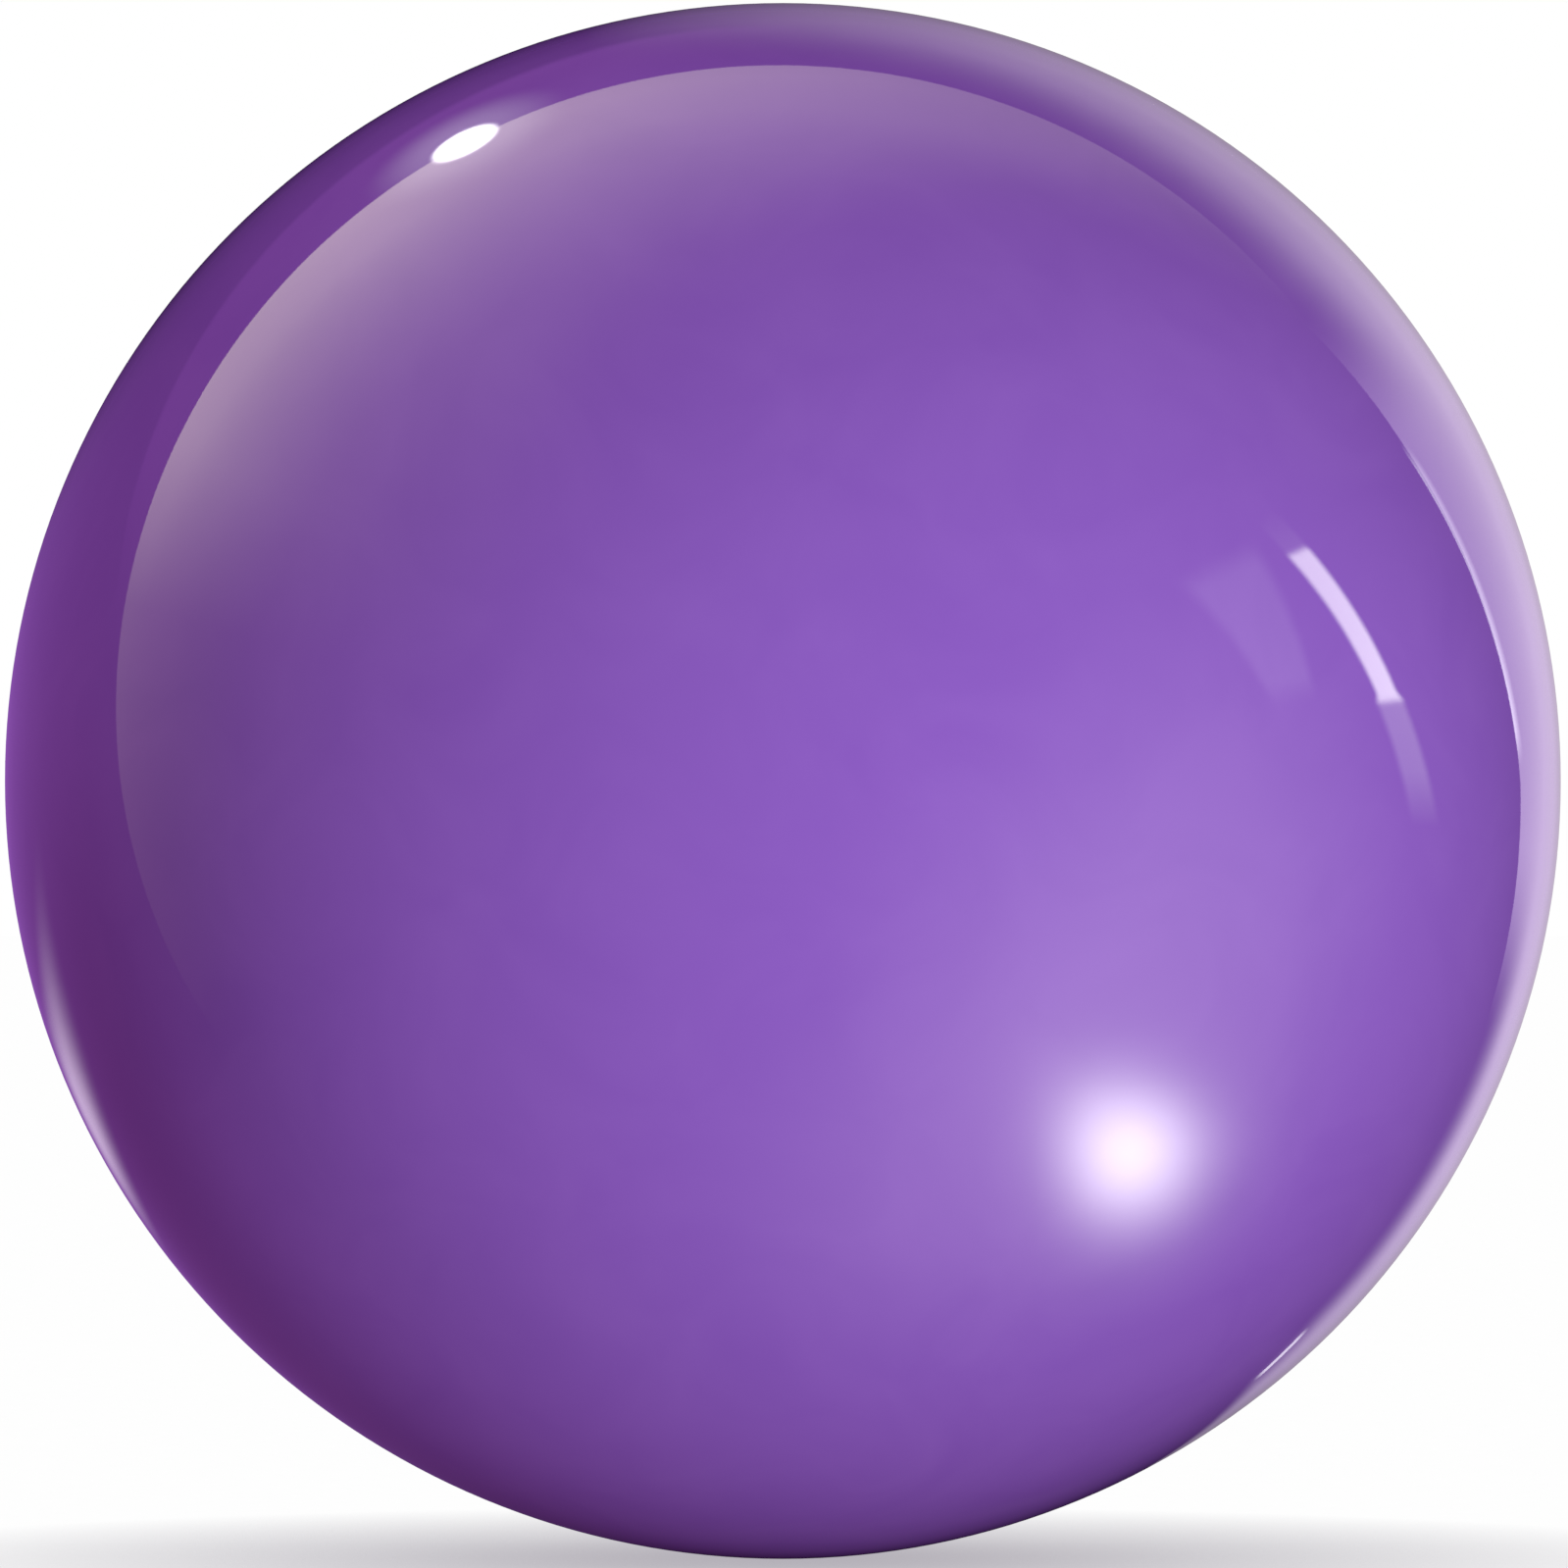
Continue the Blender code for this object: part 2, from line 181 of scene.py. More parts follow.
def quadSphere(name, radius, cells):
    # Six square faces of a cube, u and v spread evenly in angle, pushed out to the sphere
    line = np.tan(np.linspace(-math.pi / 4, math.pi / 4, cells + 1))
    u, v = np.meshgrid(line, line)
    one = np.ones_like(u)
    sides = [(one, u, v), (-one, -u, v), (-u, one, v), (u, -one, v), (u, v, one), (-u, v, -one)]
    points = np.concatenate([np.stack(side, -1).reshape(-1, 3) for side in sides])
    points *= radius / np.linalg.norm(points, axis=1)[:, None]
    _, first, same = np.unique(np.round(points, 7), axis=0, return_index=True, return_inverse=True)
    corner = (np.arange(cells)[:, None] * (cells + 1) + np.arange(cells)[None, :]).reshape(-1)
    quad = np.stack([corner, corner + 1, corner + cells + 2, corner + cells + 1], -1)
    quads = np.concatenate([quad + side * (cells + 1) ** 2 for side in range(6)])
    return addMesh(name, points[first], same.reshape(-1)[quads])


def drill(piece, cutters):
    for cutter in cutters:
        cut = piece.modifiers.new(cutter.name, "BOOLEAN")
        cut.object = cutter
    graph = bpy.context.evaluated_depsgraph_get()
    drilled = bpy.data.meshes.new_from_object(piece.evaluated_get(graph))
    piece.modifiers.clear()
    piece.data = drilled
    return piece


def setNormals(piece, radii):
    # Faces that lie on a sphere round the ball's centre shade as that sphere, so cuts leave no mark on it
    tolerance = 0.02 * mm
    mesh = piece.data
    mesh.shade_smooth()
    mesh.set_sharp_from_angle(angle=math.radians(35))
    points = np.zeros(len(mesh.vertices) * 3, np.float32)
    mesh.vertices.foreach_get("co", points)
    points = points.reshape(-1, 3)
    distance = np.linalg.norm(points, axis=1)
    corner = np.zeros(len(mesh.loops), np.int32)
    mesh.loops.foreach_get("vertex_index", corner)
    size = np.zeros(len(mesh.polygons), np.int32)
    mesh.polygons.foreach_get("loop_total", size)
    face = np.repeat(np.arange(len(size)), size)
    normals = np.zeros((len(corner), 3), np.float32)
    for radius, sign in radii:
        off = np.abs(distance - radius) > tolerance
        plain = np.bincount(face, off[corner], minlength=len(size)) == 0
        chosen = plain[face]
        normals[chosen] = sign * points[corner[chosen]] / distance[corner[chosen], None]
    mesh.normals_split_custom_set(normals)


def standsFor(piece, node, material):
    piece.data.materials.clear()
    piece.data.materials.append(material)
    body = nodes[node]["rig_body"]
    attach(piece, body)
    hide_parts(node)


fingerInsert = {
    "radius": 31 / 64 * inch,
    "length": 0.875 * inch,
    "halfWidth": 9.6 * mm,  # of the oval opening
    "halfDepth": 8.6 * mm,
    "padOffset": 0.7 * mm,  # of the opening, away from the thumb
    "roll": 1.9 * mm,  # rounding of the opening's rim
    "heel": 0.5 * mm,  # rounding of its lower end
    "edge": 0.35 * mm,
    "sink": 0.12 * mm,  # trimmed this far under the ball's surface
}


def makeFingerInsert(name, node, basis, material):
    # A round sleeve with an oval opening: every row is a circle or an oval round the hole's axis. The rows
    # run down the outside, across the bottom, up the inside, over the rolled rim and back across the top.
    f = fingerInsert
    angle = turnAngles(128)
    low = ballRadius - f["length"]
    rim = f["radius"] - f["edge"]
    top = float(domed(rim)) - f["sink"] - f["edge"]
    beside = 0.2 * mm

    def oval(grow, height=None, drop=0.0):
        x = (f["halfWidth"] + grow) * np.cos(angle)
        y = (f["halfDepth"] + grow) * np.sin(angle) - f["padOffset"]
        return x, y, domed(np.hypot(x, y)) - drop if height is None else height

    outside = [
        *quarterArc(rim, top, f["edge"], 90, 5),
        (f["radius"], top - support),
        (f["radius"], low + f["edge"] + beside),
        *quarterArc(rim, low + f["edge"], f["edge"], 0, 5),
        (rim - beside, low),
    ]
    rows = ringRows(angle, outside)
    rows.append(oval(f["heel"] + beside, low))
    for across, up in quarterArc(f["heel"], low + f["heel"], f["heel"], -90, 5):
        rows.append(oval(across, up))
    rows.append(oval(0, low + f["heel"] + support))
    rows.append(oval(0, drop=f["roll"] + f["sink"] + support))
    rimX, rimY, rimTop = oval(f["roll"], drop=f["sink"])
    for across, up in quarterArc(f["roll"], rimTop - f["roll"], f["roll"], 180, 10):
        rows.append((*oval(across)[:2], up))
    for share in (0.12, 0.5, 0.88):
        x = rimX + (rim * np.cos(angle) - rimX) * share
        y = rimY + (rim * np.sin(angle) - rimY) * share
        rows.append((x, y, domed(np.hypot(x, y)) - f["sink"]))
    standsFor(ringStack(name, rows, basis, closed=True), node, material)


lockCam = {
    "offset": 16 * mm,  # of its axis from the thumb hole's
    "shaft": 1.5 * mm,
    "throw": 0.6 * mm,
    "lobeLength": 6.5 * mm,
    "head": 2.1 * mm,
    "headHeight": 2.2 * mm,
    "sink": 0.5 * mm,  # of its head, under the ball's surface
    "length": 14 * mm,
    "hex": 1.15 * mm,
    "hexDepth": 1.6 * mm,
    "hexBevel": 0.12 * mm,
    "edge": 0.15 * mm,
    "recess": 2.4 * mm,  # radius of the pocket that it turns in
    "rib": 2 * mm,  # radius of the ridge below that pocket, which runs in the slug's groove
}
camHeadTop = float(domed(lockCam["offset"] + lockCam["head"])) - lockCam["sink"]


def makeLockCam(basis, material):
    # Each row is a loop round the cam's own axis: a hexagon in its drive, a bulge at the lobe, or a circle
    c = lockCam
    angle = turnAngles(72)
    driveFloor = camHeadTop - c["hexDepth"]
    neck = camHeadTop - c["headHeight"]
    foot = camHeadTop - c["length"]
    lobeLow = (neck + foot - c["lobeLength"]) / 2
    lobeTop = lobeLow + c["lobeLength"]
    sixth = math.tau / 6
    hexagon = c["hex"] * math.cos(sixth / 2) / np.cos((angle % sixth) - sixth / 2)
    lobe = -c["throw"] * np.cos(angle) + np.sqrt(c["shaft"] ** 2 - (c["throw"] * np.sin(angle)) ** 2)
    lobe = np.maximum(c["shaft"], lobe)
    pastEdge = c["edge"] * 1.6
    profile = [
        (hexagon * 0.5, driveFloor),
        (hexagon * 0.98, driveFloor),
        (hexagon, driveFloor + crisp / 2),
        (hexagon, camHeadTop - c["hexBevel"]),
        (c["hex"] + c["hexBevel"], camHeadTop),
        (c["head"] - pastEdge, camHeadTop),
        (c["head"] - c["edge"], camHeadTop),
        (c["head"], camHeadTop - c["edge"]),
        (c["head"], camHeadTop - pastEdge),
        (c["head"], neck + c["edge"]),
        (c["head"] - c["edge"], neck),
        (c["shaft"] + crisp, neck),
        (c["shaft"], neck - crisp),
        (c["shaft"], lobeTop + crisp),
        (lobe, lobeTop),
        (lobe, lobeLow),
        (c["shaft"], lobeLow - crisp),
        (c["shaft"], foot + c["edge"]),
        (c["shaft"] - c["edge"], foot),
    ]
    rows = ringRows(angle, profile, aside=c["offset"])
    standsFor(ringStack("camShaft", rows, basis), "lock_cam", material)


def slotAngles():  # close together where the slug's groove runs, wide apart elsewhere
    grooveHalf = 11
    groove = np.linspace(-grooveHalf, grooveHalf, 45)
    return np.radians([*groove, *np.linspace(grooveHalf, 360 - grooveHalf, 108)[1:-1]])


def shapedByCam(angle, plain, radius, side):
    # Distance from the thumb hole's axis to its wall. A circle of this radius round the cam's axis pushes the
    # wall in as far as the circle's near side (-1) or out as far as its far side (+1).
    half = radius**2 - (lockCam["offset"] * np.sin(angle)) ** 2
    met = (half > 0) & (np.cos(angle) > 0)
    wall = lockCam["offset"] * np.cos(angle) + side * np.sqrt(np.where(met, half, 0))
    return np.where(met & (side * wall > side * plain), wall, plain)


cushion = {"radius": 11 * mm, "thickness": 1.5 * mm, "edge": 0.4 * mm}
thumbSocket = {
    "radius": 0.75 * inch,
    "bore": 15.6 * mm,
    "depth": 62 * mm,
    "floor": 5 * mm,
    "edge": 0.2 * mm,
    "bottomEdge": 1 * mm,
    "ribFoot": 0.6 * mm,  # chamfer at the bottom of the bore
    "ribSlope": 0.5 * mm,  # run-out at the rib's top
    "ribDrop": 2 * mm,  # from the cam's pocket down to the rib's top
}
socketLow = ballRadius - thumbSocket["depth"]
socketFloor = socketLow + thumbSocket["floor"]


def makeThumbSocket(basis, material):
    # Radius(u, v) round the hole's axis: bulged out to the cam's pocket, plain below it, pushed in at the rib
    s = thumbSocket
    angle = slotAngles()
    well = socketFloor - cushion["thickness"] - gap
    wellRadius = cushion["radius"] + gap
    plain = np.full_like(angle, s["bore"])
    ribbed = shapedByCam(angle, plain, lockCam["rib"], -1)
    recessed = shapedByCam(angle, plain, lockCam["recess"], 1)
    recessLow = camHeadTop - lockCam["length"] - gap
    ribTop = recessLow - s["ribDrop"]
    innerTop = domed(recessed + s["edge"]) - s["edge"]
    outer = s["radius"] - s["edge"]
    outerTop = domed(outer) - s["edge"]
    profile = [
        (wellRadius * 0.5, well),
        (wellRadius - crisp, well),
        (wellRadius, well + crisp),
        (wellRadius, socketFloor - crisp),
        (wellRadius + crisp, socketFloor),
        (ribbed - s["ribFoot"], socketFloor),
        (ribbed, socketFloor + s["ribFoot"]),
        (ribbed, ribTop - s["ribSlope"]),
        (plain, ribTop),
        (plain, recessLow),
        (recessed, recessLow + crisp),
        (recessed, domed(recessed) - s["edge"] - support),
        *quarterArc(recessed + s["edge"], innerTop, s["edge"], 180, 4),
        *quarterArc(outer, outerTop, s["edge"], 90, 4),
        (s["radius"], outerTop - support),
        (s["radius"], socketLow + s["bottomEdge"] + support),
        *quarterArc(s["radius"] - s["bottomEdge"], socketLow + s["bottomEdge"], s["bottomEdge"], 0, 4),
        (s["radius"] - s["bottomEdge"] - support, socketLow),
    ]
    standsFor(ringStack("socketCup", ringRows(angle, profile), basis), "thumb_socket", material)


def makeCushion(basis, material):  # a turned pad with rounded edges, in the well of the socket's floor
    top = socketFloor - gap
    bottom = top - cushion["thickness"] + gap
    corners = [
        (0, top, 0),
        (cushion["radius"], top, cushion["edge"]),
        (cushion["radius"], bottom, cushion["edge"]),
        (0, bottom, 0),
    ]
    standsFor(turnedPiece("cushionPad", roundedProfile(corners), basis), "socket_cushion", material)


thumbSlug = {
    "radius": 15.1 * mm,
    "bore": 12 * mm,
    "floor": 6 * mm,
    "fillet": 3 * mm,  # between the floor and the bore
    "roll": 2.4 * mm,  # rounding of the mouth
    "edge": 0.3 * mm,
    "bottomEdge": 0.6 * mm,
}


def makeThumbSlug(basis, material):
    # Radius(u, v): round inside and out, with one groove down the outside, and a mouth that rolls over
    s = thumbSlug
    angle = slotAngles()
    low = socketFloor + gap
    floor = low + s["floor"]
    heel = s["bore"] - s["fillet"]
    outside = shapedByCam(angle, s["radius"], lockCam["recess"], -1)
    rim = outside - s["edge"]
    roll = np.minimum(s["roll"], rim - s["bore"] - 0.15 * mm)  # tighter where the groove thins the wall
    mouth = s["bore"] + roll
    profile = [
        (heel * 0.5, floor),
        (heel - support, floor),
        *quarterArc(heel, floor + s["fillet"], s["fillet"], -90, 5, turning=1),
        (s["bore"], floor + s["fillet"] + support),
        (s["bore"], domed(mouth) - roll - support),
        *quarterArc(mouth, domed(mouth) - roll, roll, 180, 10),
        (mouth * 0.3 + rim * 0.7, domed(rim)),
        *quarterArc(rim, domed(rim) - s["edge"], s["edge"], 90, 5),
        (outside, domed(rim) - s["edge"] - support),
        (outside, low + s["bottomEdge"] + support),
        *quarterArc(outside - s["bottomEdge"], low + s["bottomEdge"], s["bottomEdge"], 0, 5),
        (outside - s["bottomEdge"] - support, low),
        (s["bore"] / 2, low),
    ]
    standsFor(ringStack("slugSleeve", ringRows(angle, profile), basis), "thumb_slug", material)


weightBlock = {
    "bulb": 40 * mm,
    "bulbCentre": 16 * mm,  # heights are counted from the ball's centre towards the pin
    "neck": 25 * mm,
    "foot": 38 * mm,
    "footTop": -32 * mm,
    "footBottom": -50 * mm,
    "footRounding": 4 * mm,
    "spigot": 16 * mm,
    "spigotEnd": -42 * mm,
    "spigotRounding": 1 * mm,
}
locatingPin = {"radius": 3.25 * mm, "seat": 4 * mm, "aboveFingers": 26 * mm, "aside": 22 * mm}
centreMark = {"radius": 1.5 * mm, "depth": 1.2 * mm, "fromThumb": 82 * mm, "aside": 9 * mm}


def blockProfile(grow):  # the whole weight block, bulb over neck over foot, grown outwards by a margin
    b = weightBlock
    bulb = b["bulb"] + grow
    neck = b["neck"] + grow
    foot = b["foot"] + grow
    angle = np.linspace(math.pi / 2, -math.acos(neck / bulb), 40)
    side = np.stack([bulb * np.cos(angle), b["bulbCentre"] + bulb * np.sin(angle)], -1)
    lower = [
        (neck, b["footTop"] + grow, 0),
        (foot, b["footTop"] + grow, b["footRounding"]),
        (foot, b["footBottom"] - grow, b["footRounding"]),
        (0, b["footBottom"] - grow, 0),
    ]
    return np.concatenate([side[1:], roundedProfile(lower)])


def makeWeightBlock(basis, bulbMaterial, footMaterial):
    # One profile, parted at the foot's top: the bulb ends in a spigot that fills a round recess in the foot
    b = weightBlock
    whole = blockProfile(0)
    seat = b["bulbCentre"] + b["bulb"] - locatingPin["seat"]
    seatRadius = locatingPin["radius"] + gap
    bulbSide = whole[(whole[:, 0] > seatRadius) & (whole[:, 1] > b["footTop"] + gap)]
    seatWall = [(seatRadius * 0.5, seat), (seatRadius, seat), (seatRadius, bulbSide[0][1])]
    spigot = [
        (b["neck"], b["footTop"] + gap, 0),
        (b["spigot"], b["footTop"] + gap, 0),
        (b["spigot"], b["spigotEnd"], b["spigotRounding"]),
        (0, b["spigotEnd"], 0),
    ]
    bulb = np.concatenate([seatWall, bulbSide, roundedProfile(spigot)])
    recess = [
        (b["spigot"] / 4, b["spigotEnd"] - gap),
        (b["spigot"] + gap, b["spigotEnd"] - gap),
        (b["spigot"] + gap, b["footTop"]),
    ]
    footSide = whole[whole[:, 1] <= b["footTop"]]
    flank = footSide[footSide[:, 0] > b["neck"] + gap / 2]
    foot = np.concatenate([recess, flank, footSide[-1:]])
    standsFor(turnedPiece("weightBulb", bulb, basis), "weight_block_bulb", bulbMaterial)
    standsFor(turnedPiece("weightFoot", foot, basis), "weight_block_foot", footMaterial)


def makeLocatingPin(basis, material):  # a rod from the bulb's seat to the ball's surface, domed like the ball
    radius = locatingPin["radius"]
    bottom = weightBlock["bulbCentre"] + weightBlock["bulb"] - locatingPin["seat"] + gap
    profile = [*domedTop(radius), (radius, bottom), (0, bottom)]
    standsFor(turnedPiece("pinRod", profile, basis, 48), "locating_pin", material)


def makeCentreMark(basis, material):  # a short plug, domed like the ball
    radius = centreMark["radius"] - flushFit
    bottom = ballRadius - centreMark["depth"] + seam
    profile = [*domedTop(radius), (radius, bottom), (0, bottom)]
    standsFor(turnedPiece("markDot", profile, basis, 48), "centre_mark", material)


# Where the holes, the pin and the mark are. Spans run over the surface, from the edge of the thumb's opening
# to the edge of the finger's.
drilling = {
    "middleSpan": 4.375 * inch,
    "ringSpan": 4.5 * inch,
    "bridge": 0.375 * inch,
    "edgeBevel": 0.35 * mm,
    "tipRadius": 0.375 * inch,  # of the narrower bore below a finger insert
    "tipDepth": 1.3 * inch,
}
shells = {"coverThickness": 20 * mm, "coverCells": 64, "innerCells": 32}


def surfaceDirection(fromThumb, aside):  # the unit vector to a point on the ball, by arcs from the thumb
    swing = fromThumb / ballRadius
    lean = math.asin(aside / (ballRadius * math.sin(swing)))
    across = upwards * math.cos(lean) + ringSide * math.sin(lean)
    return thumbAxis * math.cos(swing) + across * math.sin(swing)


def holeBasis(axis, towards):  # rows: local X, local Y leaning towards a direction, local Z out of the hole
    up = towards - axis * (towards @ axis)
    up /= np.linalg.norm(up)
    return np.array([np.cross(up, axis), up, axis])


reach = thumbSlug["bore"] + fingerInsert["halfDepth"]
fingerAside = drilling["bridge"] / 2 + fingerInsert["radius"]
pinFromThumb = drilling["ringSpan"] + reach + locatingPin["aboveFingers"]
thumbBasis = holeBasis(thumbAxis, upwards)
middleBasis = holeBasis(surfaceDirection(drilling["middleSpan"] + reach, -fingerAside), thumbAxis)
ringBasis = holeBasis(surfaceDirection(drilling["ringSpan"] + reach, fingerAside), thumbAxis)
pinBasis = holeBasis(surfaceDirection(pinFromThumb, locatingPin["aside"]), thumbAxis)
markBasis = holeBasis(surfaceDirection(centreMark["fromThumb"], centreMark["aside"]), thumbAxis)


def boreCutter(name, radius, levels, basis):
    # It widens past the ball's surface, a flare rounds the hole's edge, and the levels are the bore below
    bevel = drilling["edgeBevel"]
    edge = float(domed(radius)) - bevel
    swing = np.radians(np.linspace(65, 0, 5))
    flare = np.stack([radius + bevel * (1 - np.cos(swing)), edge + bevel * np.sin(swing)], -1)
    return turnedPiece(name, [flare[0] + overshoot, *flare, *levels], basis)


def makeBoreCutters():
    fingerRadius = fingerInsert["radius"] + seam
    ledge = ballRadius - fingerInsert["length"] - seam
    tip = drilling["tipRadius"]
    tipFloor = ballRadius - drilling["tipDepth"]
    fingerLevels = [(fingerRadius, ledge), (tip, ledge), (tip, tipFloor + tip * 0.25), (tip * 0.75, tipFloor)]
    thumbRadius = thumbSocket["radius"] + seam
    pinRadius = locatingPin["radius"] + flushFit
    pastPin = 1 * mm  # into the weight block's cavity
    pinFloor = weightBlock["bulbCentre"] + weightBlock["bulb"] - locatingPin["seat"] - pastPin
    return [
        boreCutter("middleBore", fingerRadius, fingerLevels, middleBasis),
        boreCutter("ringBore", fingerRadius, fingerLevels, ringBasis),
        boreCutter("thumbBore", thumbRadius, [(thumbRadius, socketLow - gap)], thumbBasis),
        turnedPiece("pinBore", [(pinRadius, ballRadius + overshoot), (pinRadius, pinFloor)], pinBasis, 48),
    ]


def makeShells(coverMaterial, coreMaterial):  # hollow spheres, drilled by the cutters
    innerRadius = ballRadius - shells["coverThickness"]
    coreRadius = innerRadius - gap
    bores = makeBoreCutters()
    markEnds = [ballRadius + overshoot, ballRadius - centreMark["depth"]]
    pocket = turnedPiece("markPocket", [(centreMark["radius"], end) for end in markEnds], markBasis, 48)
    hollow = quadSphere("coverHollow", innerRadius, shells["innerCells"])
    cover = drill(quadSphere("coverShell", ballRadius, shells["coverCells"]), [hollow, *bores, pocket])
    setNormals(cover, [(ballRadius, 1), (innerRadius, -1)])
    cavity = turnedPiece("blockCavity", blockProfile(gap), pinBasis)
    core = drill(quadSphere("fillerCore", coreRadius, shells["innerCells"]), [cavity, *bores])
    setNormals(core, [(coreRadius, 1)])
    for cutter in [hollow, cavity, pocket, *bores]:
        bpy.data.objects.remove(cutter)
    standsFor(cover, "coverstock", coverMaterial)
    standsFor(core, "outer_core", coreMaterial)


def toLinear(hexColour):  # an sRGB hex colour as the linear values a shader takes
    share = [int(hexColour[i : i + 2], 16) / 255 for i in (1, 3, 5)]
    return [c / 12.92 if c <= 0.04045 else ((c + 0.055) / 1.055) ** 2.4 for c in share] + [1]


def addNode(tree, kind, settings, inputs):
    # Settings are the node's own properties. Inputs are constants, hex colours or sockets to link from.
    node = tree.nodes.new("ShaderNode" + kind)
    for name, value in settings.items():
        setattr(node, name, value)
    for name, value in inputs.items():
        if isinstance(value, bpy.types.NodeSocket):
            tree.links.new(value, node.inputs[name])
        elif isinstance(value, str):
            node.inputs[name].default_value = toLinear(value)
        else:
            node.inputs[name].default_value = value
    return node


def newMaterial(name):
    material = bpy.data.materials.new(name)
    material.use_nodes = True
    material.node_tree.nodes.clear()
    return material, material.node_tree


def finishMaterial(material, surface):
    output = addNode(material.node_tree, "OutputMaterial", {}, {"Surface": surface})
    output.is_active_output = True
    return material


def perMetre(size):  # the texture scale that gives features of this size
    return 1 / size


def spread(tree, value, low, high):  # stretches a 0 to 1 value over a range
    limits = {"Value": value, "To Min": low, "To Max": high}
    return addNode(tree, "MapRange", {}, limits).outputs["Result"]


def blendColours(tree, share, first, second):
    mixer = addNode(tree, "Mix", {"data_type": "RGBA"}, {"Factor": share, 6: first, 7: second})
    return mixer.outputs[2]


def bumped(tree, height, depth):  # depth is the real height of the relief
    return addNode(tree, "Bump", {}, {"Height": height, "Distance": depth}).outputs["Normal"]


coverLook = {
    "pale": "#8c68c7",
    "deep": "#825cbf",
    "cloud": 24 * mm,
    "haze": 3 * mm,  # polishing scratches are far finer, and are drawn this coarse so that they show at all
    "hazeRoughness": (0.01, 0.035),
    "orangePeel": 7 * mm,
    "peelDepth": 0.002 * mm,
}


def makeCoverMaterial():
    # Cast urethane sanded and polished on a spinner: deep even colour, mirror-like gloss with a trace of haze
    material, tree = newMaterial("polished cast urethane")
    place = addNode(tree, "TexCoord", {}, {}).outputs["Object"]
    cloud = {"Vector": place, "Scale": perMetre(coverLook["cloud"]), "Detail": 3, "Distortion": 1.2}
    clouds = addNode(tree, "TexNoise", {}, cloud).outputs["Fac"]
    fine = {"Vector": place, "Scale": perMetre(coverLook["haze"]), "Detail": 5, "Roughness": 0.7}
    haze = addNode(tree, "TexNoise", {}, fine).outputs["Fac"]
    peel = {"Vector": place, "Scale": perMetre(coverLook["orangePeel"]), "Detail": 1}
    ripple = addNode(tree, "TexNoise", {}, peel).outputs["Fac"]
    shader = {
        "Base Color": blendColours(tree, clouds, coverLook["deep"], coverLook["pale"]),
        "Roughness": spread(tree, haze, *coverLook["hazeRoughness"]),
        "IOR": 1.5,
        "Normal": bumped(tree, ripple, coverLook["peelDepth"]),
    }
    return finishMaterial(material, addNode(tree, "BsdfPrincipled", {}, shader).outputs[0])


def makeFilledMaterial(name, binder, filler, grain, roughness, relief):
    # Resin thick with filler: a matte binder with paler grains showing at the machined face
    material, tree = newMaterial(name)
    place = addNode(tree, "TexCoord", {}, {}).outputs["Object"]
    cells = {"Vector": place, "Scale": perMetre(grain)}
    distance = addNode(tree, "TexVoronoi", {}, cells).outputs["Distance"]
    beads = spread(tree, distance, 1.3, -0.6)
    patch = {"Vector": place, "Scale": perMetre(18 * mm), "Detail": 3}
    patches = addNode(tree, "TexNoise", {}, patch).outputs["Fac"]
    product = {"operation": "MULTIPLY", "use_clamp": True}
    grains = addNode(tree, "Math", product, {0: beads, 1: patches}).outputs[0]
    shader = {
        "Base Color": blendColours(tree, grains, binder, filler),
        "Roughness": spread(tree, patches, roughness - 0.06, roughness + 0.06),
        "IOR": 1.55,
        "Normal": bumped(tree, distance, relief),
    }
    return finishMaterial(material, addNode(tree, "BsdfPrincipled", {}, shader).outputs[0])


def makePlasticMaterial(name, dark, pale, roughness, grain, relief):
    # Moulded or cast plastic: near even colour, with the fine grain its mould or sanding leaves in the gloss
    material, tree = newMaterial(name)
    place = addNode(tree, "TexCoord", {}, {}).outputs["Object"]
    fine = {"Vector": place, "Scale": perMetre(grain), "Detail": 4, "Roughness": 0.6}
    grains = addNode(tree, "TexNoise", {}, fine).outputs["Fac"]
    broad = {"Vector": place, "Scale": perMetre(9 * mm), "Detail": 2, "Distortion": 0.8}
    drift = addNode(tree, "TexNoise", {}, broad).outputs["Fac"]
    shader = {
        "Base Color": blendColours(tree, drift, dark, pale),
        "Roughness": spread(tree, grains, roughness - 0.07, roughness + 0.07),
        "IOR": 1.49,
        "Normal": bumped(tree, grains, relief),
    }
    return finishMaterial(material, addNode(tree, "BsdfPrincipled", {}, shader).outputs[0])


def makeTurnedMaterial(name, dark, pale, metallic, roughness, pitch, relief):
    # Turned on a lathe: fine rings round the hole's axis catch the light as faint bands. The wave texture
    # counts 20 radians to the unit, so the rings are six times as coarse as the tool's pitch, enough to show.
    material, tree = newMaterial(name)
    place = addNode(tree, "TexCoord", {}, {}).outputs["Object"]
    scale = perMetre(pitch) / 20
    rings = {"Vector": place, "Scale": scale, "Distortion": 0.4, "Detail": 2, "Detail Scale": 3}
    bands = {"wave_type": "BANDS", "bands_direction": "Y"}
    ridges = addNode(tree, "TexWave", bands, rings).outputs["Fac"]
    smear = {"Vector": place, "Scale": perMetre(6 * mm), "Detail": 4}
    smears = addNode(tree, "TexNoise", {}, smear).outputs["Fac"]
    shader = {
        "Base Color": blendColours(tree, smears, dark, pale),
        "Metallic": metallic,
        "Roughness": spread(tree, smears, roughness - 0.06, roughness + 0.06),
        "IOR": 1.5,
        "Normal": bumped(tree, ridges, relief),
    }
    return finishMaterial(material, addNode(tree, "BsdfPrincipled", {}, shader).outputs[0])


